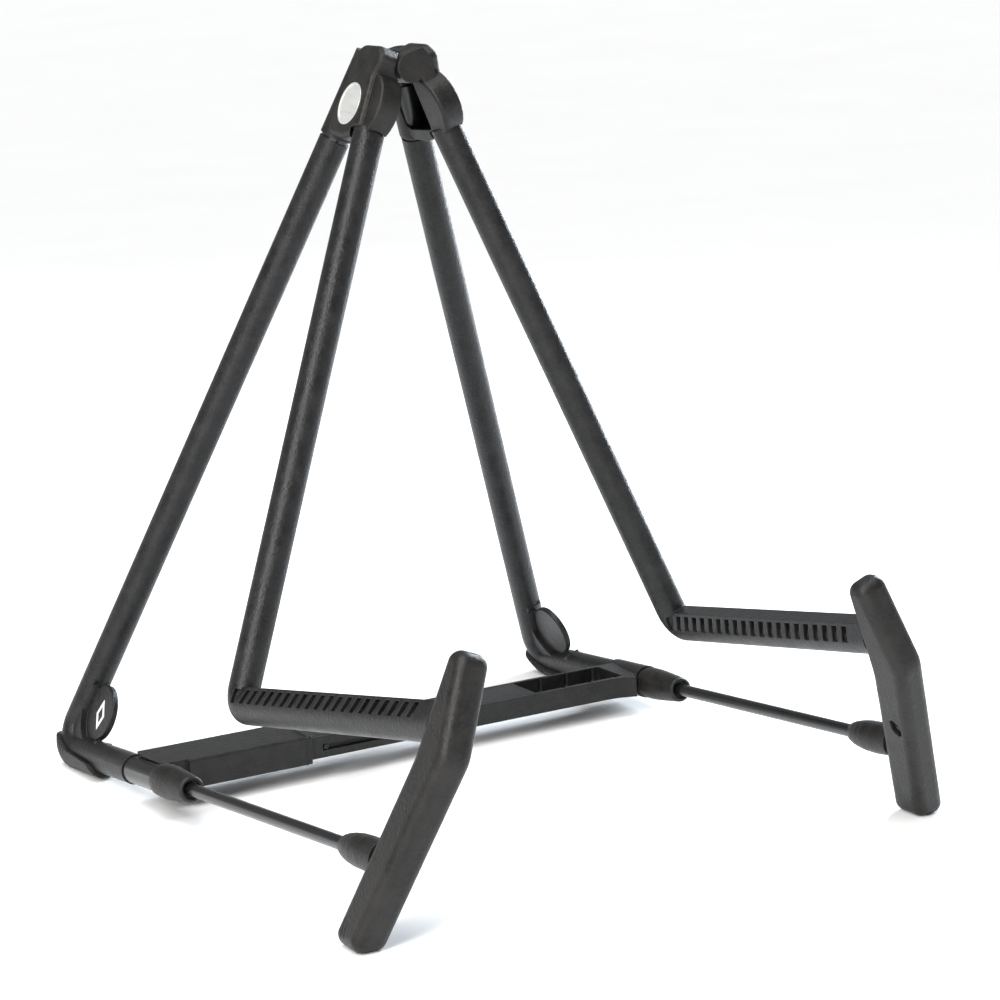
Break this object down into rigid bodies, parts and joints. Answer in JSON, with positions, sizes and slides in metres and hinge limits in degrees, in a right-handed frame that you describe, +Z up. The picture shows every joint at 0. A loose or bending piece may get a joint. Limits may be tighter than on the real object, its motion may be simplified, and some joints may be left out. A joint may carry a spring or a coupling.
{
  "type": "folding instrument stand",
  "caption": "Folding floor stand with two mirrored wings of sleeved bent tube, padded arms with kinked front fingers, a top hinge and a telescoping cross brace.",
  "frame": {"origin": "on the floor, midway between the two wings and midway between the front and rear ends", "axes": "+X towards the wing that carries the brace's pivot, -Y towards the front fingers, +Z up"},
  "size_m": [0.2902, 0.3563, 0.3401],
  "materials": {
    "foam_sleeve": "matte, soft foam rubber skin",
    "moulded_plastic": "matte, lightly textured",
    "brace_plastic": "matte",
    "painted_tube": "glossy black paint",
    "heel_rubber": "matte",
    "steel_fixings": "satin, blackened",
    "badge_metal": "satin",
    "mark_print": "printed"
  },
  "bodies": {
    "left_wing": {"left_collar": "moulded_plastic", "left_foot": "moulded_plastic", "left_foot_screw": "steel_fixings", "left_front_sleeve": "foam_sleeve", "left_front_tube": "painted_tube", "left_head": "moulded_plastic", "left_heel_pad": "heel_rubber", "left_rear_sleeve": "foam_sleeve", "left_rear_tube": "painted_tube", "left_rod": "painted_tube", "head_badge": "badge_metal", "disc_mark": "mark_print"},
    "right_wing": {"right_collar": "moulded_plastic", "right_foot": "moulded_plastic", "right_foot_screw": "steel_fixings", "right_front_sleeve": "foam_sleeve", "right_front_tube": "painted_tube", "right_head": "moulded_plastic", "right_heel_pad": "heel_rubber", "right_rear_sleeve": "foam_sleeve", "right_rear_tube": "painted_tube", "right_rod": "painted_tube", "hinge_pin": "steel_fixings"},
    "brace_outer": {"brace_channel": "brace_plastic"},
    "brace_inner": {"brace_box": "brace_plastic", "brace_tongue": "brace_plastic", "brace_guide_pin": "brace_plastic"}
  },
  "joints": [
    {"name": "wing_fold", "type": "hinge", "parent": "left_wing", "child": "right_wing", "pos_m": [0, 0.05, 0.3293], "axis": [0, 1, 0], "range_deg": [0, 31]},
    {"name": "brace_swing", "type": "hinge", "parent": "right_wing", "child": "brace_outer", "pos_m": [0.13274, 0.07525, 0.01492], "axis": [0.033, 0.9959, -0.0839], "range_deg": [0, 47]},
    {"name": "brace_slide", "type": "slide", "parent": "brace_outer", "child": "brace_inner", "axis": [1, 0, 0], "range_m": [0, 0.044]}
  ],
  "couplings": [
    {"joint": "brace_swing", "follows": "wing_fold", "ratio": 1.5},
    {"joint": "brace_slide", "follows": "wing_fold", "m_per_rad": 0.0813}
  ]
}
